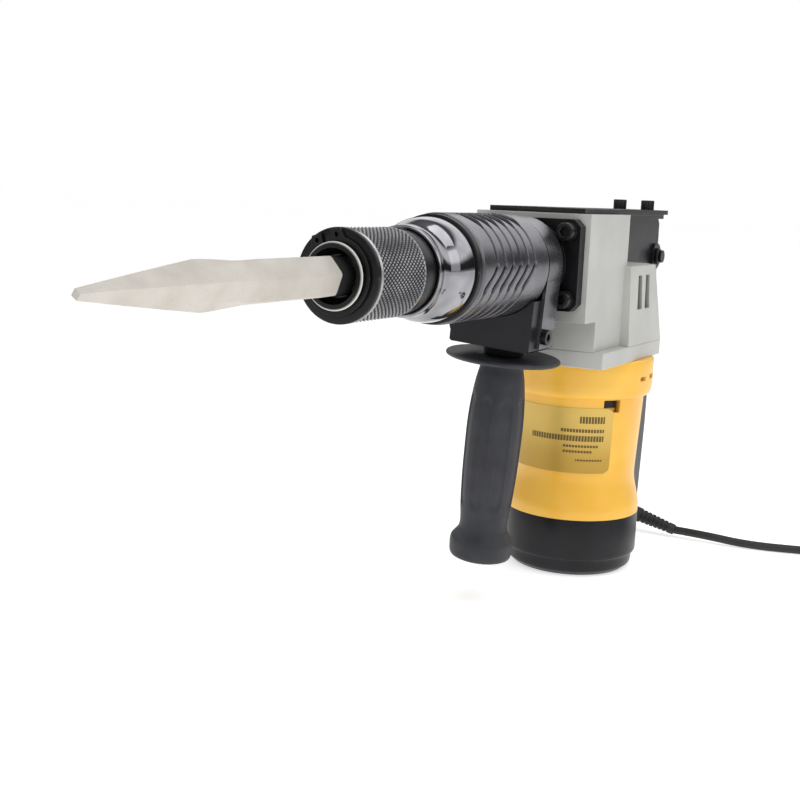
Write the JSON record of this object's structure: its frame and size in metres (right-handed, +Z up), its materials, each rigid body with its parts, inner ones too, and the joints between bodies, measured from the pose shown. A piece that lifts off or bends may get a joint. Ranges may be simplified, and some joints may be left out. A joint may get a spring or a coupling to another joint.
{
  "type": "demolition hammer",
  "caption": "Corded L-shaped demolition hammer with a hexagon point chisel, swinging side grip, rear loop handle, piston and crank hammer drive, and upright motor.",
  "frame": {"origin": "middle of the flat base face, on the motor axis", "axes": "+X the way the chisel points, +Y the tool's left side, +Z up"},
  "size_m": [0.5774, 0.3148, 0.2395],
  "materials": {
    "forged_steel": "bead blasted",
    "black_steel": "black oxide",
    "knurl_steel": "knurled",
    "bright_steel": "machined",
    "dark_chrome": "polished",
    "gloss_black": "gloss",
    "satin_grey": "satin",
    "light_grey": "satin paint",
    "cast_alloy": "cast",
    "yellow_shell": "satin",
    "gold_foil": "satin foil",
    "black_shell": "matte",
    "grip_rubber": "matte",
    "cord_rubber": "matte",
    "copper_face": "turned",
    "brass_pin": "nickel",
    "carbon": "sintered"
  },
  "bodies": {
    "housing": {"tool_holder": "black_steel", "retaining_roller": "bright_steel", "holder_circlip": "black_steel", "sleeve_washer": "black_steel", "sleeve_spring": "bright_steel", "front_bell": "dark_chrome", "bell_ring": "gloss_black", "barrel": "satin_grey", "barrel_cover": "gloss_black", "flange_washers": "black_steel", "flange_screws": "black_steel", "hammer_cylinder": "bright_steel", "crank_bearings": "bright_steel", "crank_housing": "light_grey", "gearbox_plate": "light_grey", "motor_housing": "yellow_shell", "rating_label": "gold_foil", "base_cap": "black_shell", "armature_bearings": "bright_steel", "field_core": "bright_steel", "carbon_brushes": "carbon", "brush_holders": "brass_pin", "handle_left": "black_shell", "handle_right": "black_shell", "handle_screws": "black_steel", "handle_bolt": "black_steel", "handle_nut": "black_steel", "switch_body": "black_shell", "handle_bracket": "gloss_black", "top_plate": "satin_grey", "bracket_bolts": "black_steel", "cord_guard": "cord_rubber", "power_cord": "cord_rubber", "cord_coil": "cord_rubber", "cord_tail": "cord_rubber", "plug_body": "cord_rubber", "plug_pins": "brass_pin"},
    "chisel": {"chisel": "forged_steel"},
    "sleeve": {"knurled_sleeve": "knurl_steel", "sleeve_skirt": "black_steel"},
    "impact": {"impact_bolt": "bright_steel"},
    "ram": {"striker": "bright_steel"},
    "driver": {"piston": "cast_alloy"},
    "crank": {"crankshaft": "bright_steel", "crank_gear": "bright_steel"},
    "rod": {"connecting_rod": "cast_alloy", "piston_pin": "bright_steel"},
    "armature": {"armature_shaft": "bright_steel", "armature_core": "bright_steel", "commutator": "copper_face", "cooling_fan": "black_shell"},
    "clamp": {"grip_block": "gloss_black", "grip_strap": "satin_grey", "strap_bolt": "black_steel", "strap_nut": "black_steel", "grip_collar": "black_shell"},
    "grip": {"grip_stud": "bright_steel", "side_grip": "grip_rubber"},
    "trigger": {"trigger": "grip_rubber"},
    "button": {"lock_button": "gloss_black"}
  },
  "joints": [
    {"name": "chisel_slide", "type": "slide", "parent": "housing", "child": "chisel", "axis": [1, 0, 0], "range_m": [0, 0.012]},
    {"name": "sleeve_slide", "type": "slide", "parent": "housing", "child": "sleeve", "axis": [-1, 0, 0], "range_m": [0, 0.006], "stiffness_N_per_m": 1500, "deforming": ["sleeve_spring"]},
    {"name": "impact_slide", "type": "slide", "parent": "housing", "child": "impact", "axis": [1, 0, 0], "range_m": [-0.002, 0.0025]},
    {"name": "ram_slide", "type": "slide", "parent": "housing", "child": "ram", "axis": [1, 0, 0], "range_m": [-0.009, 0.01]},
    {"name": "piston_slide", "type": "slide", "parent": "housing", "child": "driver", "axis": [1, 0, 0], "range_m": [-0.012, 0]},
    {"name": "crank_spin", "type": "hinge", "parent": "housing", "child": "crank", "pos_m": [0.036, 0, 0.165], "axis": [0, 0, 1], "continuous": true},
    {"name": "rod_swing", "type": "hinge", "parent": "crank", "child": "rod", "pos_m": [0.042, 0, 0.201], "axis": [0, 0, 1], "continuous": true},
    {"name": "armature_spin", "type": "hinge", "parent": "housing", "child": "armature", "pos_m": [0, 0, 0.09], "axis": [0, 0, 1], "continuous": true},
    {"name": "clamp_swing", "type": "hinge", "parent": "housing", "child": "clamp", "pos_m": [0.1124, 0, 0.201], "axis": [1, 0, 0], "range_deg": [-180, 180]},
    {"name": "grip_turn", "type": "hinge", "parent": "clamp", "child": "grip", "pos_m": [0.1124, 0, 0.201], "axis": [0, -0.0698, -0.9976], "range_deg": [-180, 180]},
    {"name": "trigger_press", "type": "slide", "parent": "housing", "child": "trigger", "axis": [-1, 0, 0], "range_m": [0, 0.006], "stiffness_N_per_m": 400},
    {"name": "button_press", "type": "slide", "parent": "housing", "child": "button", "axis": [0, -1, 0], "range_m": [0, 0.003], "stiffness_N_per_m": 300}
  ],
  "couplings": [
    {"joint": "rod_swing", "follows": "crank_spin", "ratio": -1},
    {"joint": "armature_spin", "follows": "crank_spin", "ratio": -5}
  ]
}
